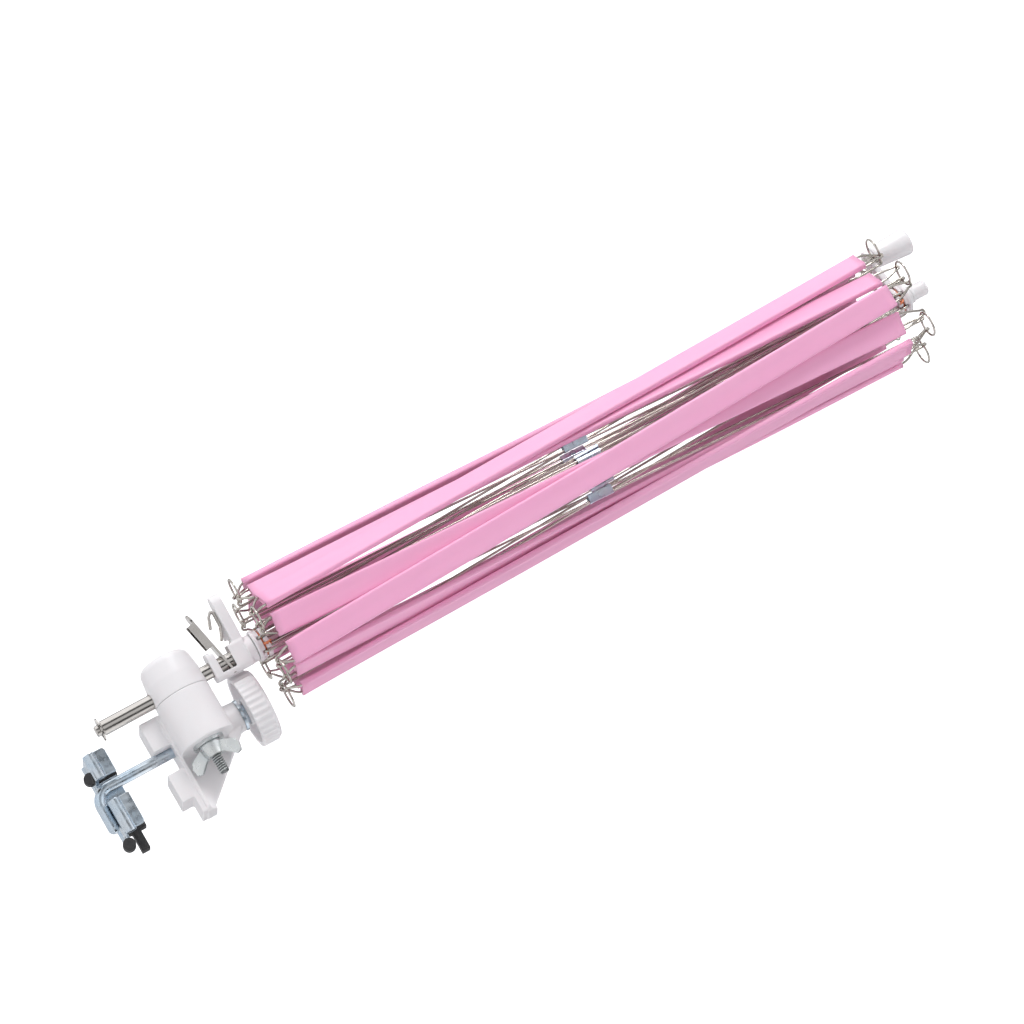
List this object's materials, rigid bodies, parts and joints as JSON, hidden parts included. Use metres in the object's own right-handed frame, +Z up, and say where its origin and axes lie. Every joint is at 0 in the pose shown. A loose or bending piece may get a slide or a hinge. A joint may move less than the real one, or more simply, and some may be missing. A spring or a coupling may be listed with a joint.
{
  "type": "umbrella yarn swift",
  "caption": "Folding umbrella yarn swift with sleeved slats on a wire lattice, a spinning crank-topped shaft, and a table clamp with a tilting holder.",
  "frame": {"origin": "centre of the larger pad face of the clamp foot, the face that rests on the table edge", "axes": "+Z up along the shaft, +X along the clamp barrel towards the wing nut, +Y across the shaft towards the clamp screw"},
  "size_m": [0.0988, 0.0736, 0.5281],
  "materials": {
    "white_plastic": "satin moulded plastic",
    "pink_vinyl": "soft satin vinyl",
    "nickel_wire": "bright nickel plate",
    "steel": "drawn steel",
    "zinc": "blue passivated zinc plate",
    "rubber": "matt black rubber",
    "copper": "bare copper"
  },
  "bodies": {
    "clamp": {"clamp_body": "white_plastic"},
    "knob": {"clamp_knob": "white_plastic", "knob_nut": "zinc"},
    "clamp_screw": {"clamp_rod": "zinc", "jaw_plate": "zinc", "jaw_pads": "rubber"},
    "holder": {"shaft_holder": "white_plastic", "eye_bolt": "zinc"},
    "bolt_washer": {"bolt_washer": "zinc"},
    "wing_nut": {"wing_nut": "zinc"},
    "tube": {"shaft_tube": "steel"},
    "head": {"spindle": "steel", "spindle_clip": "steel", "top_hub": "white_plastic", "top_cap": "white_plastic", "crank_pin": "steel", "upper_tie_wire": "copper"},
    "crank_handle": {"crank_knob": "white_plastic"},
    "runner": {"lower_hub": "white_plastic", "lower_tie_wire": "copper"},
    "latch": {"latch_body": "white_plastic", "latch_spring": "steel"},
    "latch_lever": {"latch_lever": "steel"},
    "upper_arm_1": {"upper_arm_1": "nickel_wire"},
    "lower_arm_1": {"lower_arm_1": "nickel_wire"},
    "top_ring_1": {"top_ring_1": "nickel_wire"},
    "bottom_ring_1": {"bottom_ring_1": "nickel_wire"},
    "outer_slat_1": {"outer_slat_1": "pink_vinyl"},
    "inner_slat_1": {"inner_slat_1": "pink_vinyl"},
    "upper_arm_2": {"upper_arm_2": "nickel_wire"},
    "lower_arm_2": {"lower_arm_2": "nickel_wire"},
    "top_ring_2": {"top_ring_2": "nickel_wire"},
    "bottom_ring_2": {"bottom_ring_2": "nickel_wire"},
    "outer_slat_2": {"outer_slat_2": "pink_vinyl"},
    "inner_slat_2": {"inner_slat_2": "pink_vinyl"},
    "upper_arm_3": {"upper_arm_3": "nickel_wire"},
    "lower_arm_3": {"lower_arm_3": "nickel_wire"},
    "top_ring_3": {"top_ring_3": "nickel_wire"},
    "bottom_ring_3": {"bottom_ring_3": "nickel_wire"},
    "outer_slat_3": {"outer_slat_3": "pink_vinyl"},
    "inner_slat_3": {"inner_slat_3": "pink_vinyl"},
    "upper_arm_4": {"upper_arm_4": "nickel_wire"},
    "lower_arm_4": {"lower_arm_4": "nickel_wire"},
    "top_ring_4": {"top_ring_4": "nickel_wire"},
    "bottom_ring_4": {"bottom_ring_4": "nickel_wire"},
    "outer_slat_4": {"outer_slat_4": "pink_vinyl"},
    "inner_slat_4": {"inner_slat_4": "pink_vinyl"},
    "upper_arm_5": {"upper_arm_5": "nickel_wire"},
    "lower_arm_5": {"lower_arm_5": "nickel_wire"},
    "top_ring_5": {"top_ring_5": "nickel_wire"},
    "bottom_ring_5": {"bottom_ring_5": "nickel_wire"},
    "outer_slat_5": {"outer_slat_5": "pink_vinyl"},
    "inner_slat_5": {"inner_slat_5": "pink_vinyl"},
    "upper_arm_6": {"upper_arm_6": "nickel_wire"},
    "lower_arm_6": {"lower_arm_6": "nickel_wire"},
    "top_ring_6": {"top_ring_6": "nickel_wire"},
    "bottom_ring_6": {"bottom_ring_6": "nickel_wire"},
    "outer_slat_6": {"outer_slat_6": "pink_vinyl"},
    "inner_slat_6": {"inner_slat_6": "pink_vinyl"}
  },
  "joints": [
    {"name": "knob_turn", "type": "hinge", "parent": "clamp", "child": "knob", "pos_m": [-0.01975, 0, 0.052], "axis": [0, 0, -1], "range_deg": [-1441, 5401]},
    {"name": "clamp_screw_slide", "type": "slide", "parent": "clamp", "child": "clamp_screw", "axis": [0, 0, 1], "range_m": [-0.004, 0.015]},
    {"name": "shaft_tilt", "type": "hinge", "parent": "clamp", "child": "holder", "pos_m": [-0.04445, -0.015, 0.026], "axis": [1, 0, 0], "range_deg": [0, 90]},
    {"name": "washer_slide", "type": "slide", "parent": "holder", "child": "bolt_washer", "axis": [1, 0, 0], "range_m": [0, 0.002]},
    {"name": "wing_nut_turn", "type": "hinge", "parent": "bolt_washer", "child": "wing_nut", "pos_m": [-0.01275, -0.015, 0.026], "axis": [1, 0, 0], "range_deg": [-0.5, 720.5]},
    {"name": "shaft_slide", "type": "slide", "parent": "holder", "child": "tube", "axis": [0, 0, 1], "range_m": [0, 0.025]},
    {"name": "spin", "type": "hinge", "parent": "tube", "child": "head", "pos_m": [-0.04445, -0.015, 0.46465], "axis": [0, 0, 1], "continuous": true},
    {"name": "crank_handle_spin", "type": "hinge", "parent": "head", "child": "crank_handle", "pos_m": [-0.07301, -0.00996, 0.47465], "axis": [0, 0, 1], "continuous": true},
    {"name": "fold", "type": "hinge", "parent": "head", "child": "upper_arm_1", "pos_m": [-0.03815, -0.01271, 0.46465], "axis": [0.342, -0.9397, 0], "range_deg": [0, 57.56]},
    {"name": "lower_arm_1_cross", "type": "hinge", "parent": "upper_arm_1", "child": "lower_arm_1", "pos_m": [-0.03035, -0.00987, 0.26982], "axis": [-0.342, 0.9397, 0], "range_deg": [0, 115.13]},
    {"name": "top_ring_1_hang", "type": "hinge", "parent": "lower_arm_1", "child": "top_ring_1", "pos_m": [-0.02256, -0.00703, 0.46465], "axis": [0.342, -0.9397, 0], "range_deg": [0, 57.57]},
    {"name": "bottom_ring_1_hang", "type": "hinge", "parent": "upper_arm_1", "child": "bottom_ring_1", "pos_m": [-0.02256, -0.00703, 0.075], "axis": [-0.342, 0.9397, 0], "range_deg": [0, 57.57]},
    {"name": "outer_slat_1_swing", "type": "hinge", "parent": "top_ring_1", "child": "outer_slat_1", "pos_m": [-0.02139, -0.00043, 0.46465], "axis": [0.6428, 0.766, 0], "range_deg": [0, 57.57]},
    {"name": "inner_slat_1_swing", "type": "hinge", "parent": "top_ring_1", "child": "inner_slat_1", "pos_m": [-0.01742, -0.01134, 0.46465], "axis": [-0.9848, 0.1736, 0], "range_deg": [0, 57.57]},
    {"name": "upper_arm_2_swing", "type": "hinge", "parent": "head", "child": "upper_arm_2", "pos_m": [-0.04329, -0.0084, 0.46465], "axis": [0.9848, -0.1736, 0], "range_deg": [0, 57.57]},
    {"name": "lower_arm_2_cross", "type": "hinge", "parent": "upper_arm_2", "child": "lower_arm_2", "pos_m": [-0.04185, -0.00023, 0.26982], "axis": [-0.9848, 0.1736, 0], "range_deg": [0, 115.13]},
    {"name": "top_ring_2_hang", "type": "hinge", "parent": "lower_arm_2", "child": "top_ring_2", "pos_m": [-0.0404, 0.00795, 0.46465], "axis": [0.9848, -0.1736, 0], "range_deg": [0, 57.57]},
    {"name": "bottom_ring_2_hang", "type": "hinge", "parent": "upper_arm_2", "child": "bottom_ring_2", "pos_m": [-0.0404, 0.00795, 0.075], "axis": [-0.9848, 0.1736, 0], "range_deg": [0, 57.57]},
    {"name": "outer_slat_2_swing", "type": "hinge", "parent": "top_ring_2", "child": "outer_slat_2", "pos_m": [-0.04554, 0.01225, 0.46465], "axis": [-0.342, 0.9397, 0], "range_deg": [0, 57.57]},
    {"name": "inner_slat_2_swing", "type": "hinge", "parent": "top_ring_2", "child": "inner_slat_2", "pos_m": [-0.03411, 0.01024, 0.46465], "axis": [-0.6428, -0.766, 0], "range_deg": [0, 57.57]},
    {"name": "upper_arm_3_swing", "type": "hinge", "parent": "head", "child": "upper_arm_3", "pos_m": [-0.04958, -0.01069, 0.46465], "axis": [0.6428, 0.766, 0], "range_deg": [0, 57.57]},
    {"name": "lower_arm_3_cross", "type": "hinge", "parent": "upper_arm_3", "child": "lower_arm_3", "pos_m": [-0.05594, -0.00536, 0.26982], "axis": [-0.6428, -0.766, 0], "range_deg": [0, 115.13]},
    {"name": "top_ring_3_hang", "type": "hinge", "parent": "lower_arm_3", "child": "top_ring_3", "pos_m": [-0.0623, -0.00002, 0.46465], "axis": [0.6428, 0.766, 0], "range_deg": [0, 57.57]},
    {"name": "bottom_ring_3_hang", "type": "hinge", "parent": "upper_arm_3", "child": "bottom_ring_3", "pos_m": [-0.0623, -0.00002, 0.075], "axis": [-0.6428, -0.766, 0], "range_deg": [0, 57.57]},
    {"name": "outer_slat_3_swing", "type": "hinge", "parent": "top_ring_3", "child": "outer_slat_3", "pos_m": [-0.06859, -0.00231, 0.46465], "axis": [-0.9848, 0.1736, 0], "range_deg": [0, 57.57]},
    {"name": "inner_slat_3_swing", "type": "hinge", "parent": "top_ring_3", "child": "inner_slat_3", "pos_m": [-0.06114, 0.00658, 0.46465], "axis": [0.342, -0.9397, 0], "range_deg": [0, 57.57]},
    {"name": "upper_arm_4_swing", "type": "hinge", "parent": "head", "child": "upper_arm_4", "pos_m": [-0.05075, -0.01729, 0.46465], "axis": [-0.342, 0.9397, 0], "range_deg": [0, 57.57]},
    {"name": "lower_arm_4_cross", "type": "hinge", "parent": "upper_arm_4", "child": "lower_arm_4", "pos_m": [-0.05855, -0.02013, 0.26982], "axis": [0.342, -0.9397, 0], "range_deg": [0, 115.13]},
    {"name": "top_ring_4_hang", "type": "hinge", "parent": "lower_arm_4", "child": "top_ring_4", "pos_m": [-0.06634, -0.02297, 0.46465], "axis": [-0.342, 0.9397, 0], "range_deg": [0, 57.57]},
    {"name": "bottom_ring_4_hang", "type": "hinge", "parent": "upper_arm_4", "child": "bottom_ring_4", "pos_m": [-0.06634, -0.02297, 0.075], "axis": [0.342, -0.9397, 0], "range_deg": [0, 57.57]},
    {"name": "outer_slat_4_swing", "type": "hinge", "parent": "top_ring_4", "child": "outer_slat_4", "pos_m": [-0.06751, -0.02957, 0.46465], "axis": [-0.6428, -0.766, 0], "range_deg": [0, 57.57]},
    {"name": "inner_slat_4_swing", "type": "hinge", "parent": "top_ring_4", "child": "inner_slat_4", "pos_m": [-0.07148, -0.01866, 0.46465], "axis": [0.9848, -0.1736, 0], "range_deg": [0, 57.57]},
    {"name": "upper_arm_5_swing", "type": "hinge", "parent": "head", "child": "upper_arm_5", "pos_m": [-0.04561, -0.0216, 0.46465], "axis": [-0.9848, 0.1736, 0], "range_deg": [0, 57.57]},
    {"name": "lower_arm_5_cross", "type": "hinge", "parent": "upper_arm_5", "child": "lower_arm_5", "pos_m": [-0.04705, -0.02977, 0.26982], "axis": [0.9848, -0.1736, 0], "range_deg": [0, 115.13]},
    {"name": "top_ring_5_hang", "type": "hinge", "parent": "lower_arm_5", "child": "top_ring_5", "pos_m": [-0.0485, -0.03795, 0.46465], "axis": [-0.9848, 0.1736, 0], "range_deg": [0, 57.57]},
    {"name": "bottom_ring_5_hang", "type": "hinge", "parent": "upper_arm_5", "child": "bottom_ring_5", "pos_m": [-0.0485, -0.03795, 0.075], "axis": [0.9848, -0.1736, 0], "range_deg": [0, 57.57]},
    {"name": "outer_slat_5_swing", "type": "hinge", "parent": "top_ring_5", "child": "outer_slat_5", "pos_m": [-0.04336, -0.04225, 0.46465], "axis": [0.342, -0.9397, 0], "range_deg": [0, 57.57]},
    {"name": "inner_slat_5_swing", "type": "hinge", "parent": "top_ring_5", "child": "inner_slat_5", "pos_m": [-0.05479, -0.04024, 0.46465], "axis": [0.6428, 0.766, 0], "range_deg": [0, 57.57]},
    {"name": "upper_arm_6_swing", "type": "hinge", "parent": "head", "child": "upper_arm_6", "pos_m": [-0.03932, -0.01931, 0.46465], "axis": [-0.6428, -0.766, 0], "range_deg": [0, 57.57]},
    {"name": "lower_arm_6_cross", "type": "hinge", "parent": "upper_arm_6", "child": "lower_arm_6", "pos_m": [-0.03296, -0.02464, 0.26982], "axis": [0.6428, 0.766, 0], "range_deg": [0, 115.13]},
    {"name": "top_ring_6_hang", "type": "hinge", "parent": "lower_arm_6", "child": "top_ring_6", "pos_m": [-0.0266, -0.02998, 0.46465], "axis": [-0.6428, -0.766, 0], "range_deg": [0, 57.57]},
    {"name": "bottom_ring_6_hang", "type": "hinge", "parent": "upper_arm_6", "child": "bottom_ring_6", "pos_m": [-0.0266, -0.02998, 0.075], "axis": [0.6428, 0.766, 0], "range_deg": [0, 57.57]},
    {"name": "outer_slat_6_swing", "type": "hinge", "parent": "top_ring_6", "child": "outer_slat_6", "pos_m": [-0.02031, -0.02769, 0.46465], "axis": [0.9848, -0.1736, 0], "range_deg": [0, 57.57]},
    {"name": "inner_slat_6_swing", "type": "hinge", "parent": "top_ring_6", "child": "inner_slat_6", "pos_m": [-0.02776, -0.03658, 0.46465], "axis": [-0.342, 0.9397, 0], "range_deg": [0, 57.57]},
    {"name": "runner_pivot", "type": "hinge", "parent": "lower_arm_1", "child": "runner", "pos_m": [-0.03815, -0.01271, 0.075], "axis": [0.342, -0.9397, 0], "range_deg": [0, 57.57]},
    {"name": "latch_stay", "type": "hinge", "parent": "runner", "child": "latch", "pos_m": [-0.04445, -0.015, 0.075], "axis": [0, 0, 1], "continuous": true},
    {"name": "latch_squeeze", "type": "hinge", "parent": "latch", "child": "latch_lever", "pos_m": [-0.03897, -0.01384, 0.0556], "axis": [-0.2079, 0.9781, 0], "range_deg": [0, 8], "stiffness_Nm_per_rad": 0.5, "deforming": ["latch_spring"]}
  ],
  "couplings": [
    {"joint": "knob_turn", "follows": "clamp_screw_slide", "rad_per_m": 6283.2},
    {"joint": "wing_nut_turn", "follows": "washer_slide", "rad_per_m": 6283.2},
    {"joint": "lower_arm_1_cross", "follows": "fold", "ratio": 2},
    {"joint": "top_ring_1_hang", "follows": "fold", "ratio": 1},
    {"joint": "bottom_ring_1_hang", "follows": "fold", "ratio": 1},
    {"joint": "outer_slat_1_swing", "follows": "fold", "ratio": 1},
    {"joint": "inner_slat_1_swing", "follows": "fold", "ratio": 1},
    {"joint": "upper_arm_2_swing", "follows": "fold", "ratio": 1},
    {"joint": "lower_arm_2_cross", "follows": "fold", "ratio": 2},
    {"joint": "top_ring_2_hang", "follows": "fold", "ratio": 1},
    {"joint": "bottom_ring_2_hang", "follows": "fold", "ratio": 1},
    {"joint": "outer_slat_2_swing", "follows": "fold", "ratio": 1},
    {"joint": "inner_slat_2_swing", "follows": "fold", "ratio": 1},
    {"joint": "upper_arm_3_swing", "follows": "fold", "ratio": 1},
    {"joint": "lower_arm_3_cross", "follows": "fold", "ratio": 2},
    {"joint": "top_ring_3_hang", "follows": "fold", "ratio": 1},
    {"joint": "bottom_ring_3_hang", "follows": "fold", "ratio": 1},
    {"joint": "outer_slat_3_swing", "follows": "fold", "ratio": 1},
    {"joint": "inner_slat_3_swing", "follows": "fold", "ratio": 1},
    {"joint": "upper_arm_4_swing", "follows": "fold", "ratio": 1},
    {"joint": "lower_arm_4_cross", "follows": "fold", "ratio": 2},
    {"joint": "top_ring_4_hang", "follows": "fold", "ratio": 1},
    {"joint": "bottom_ring_4_hang", "follows": "fold", "ratio": 1},
    {"joint": "outer_slat_4_swing", "follows": "fold", "ratio": 1},
    {"joint": "inner_slat_4_swing", "follows": "fold", "ratio": 1},
    {"joint": "upper_arm_5_swing", "follows": "fold", "ratio": 1},
    {"joint": "lower_arm_5_cross", "follows": "fold", "ratio": 2},
    {"joint": "top_ring_5_hang", "follows": "fold", "ratio": 1},
    {"joint": "bottom_ring_5_hang", "follows": "fold", "ratio": 1},
    {"joint": "outer_slat_5_swing", "follows": "fold", "ratio": 1},
    {"joint": "inner_slat_5_swing", "follows": "fold", "ratio": 1},
    {"joint": "upper_arm_6_swing", "follows": "fold", "ratio": 1},
    {"joint": "lower_arm_6_cross", "follows": "fold", "ratio": 2},
    {"joint": "top_ring_6_hang", "follows": "fold", "ratio": 1},
    {"joint": "bottom_ring_6_hang", "follows": "fold", "ratio": 1},
    {"joint": "outer_slat_6_swing", "follows": "fold", "ratio": 1},
    {"joint": "inner_slat_6_swing", "follows": "fold", "ratio": 1},
    {"joint": "runner_pivot", "follows": "fold", "ratio": 1},
    {"joint": "latch_stay", "follows": "spin", "ratio": -1}
  ]
}
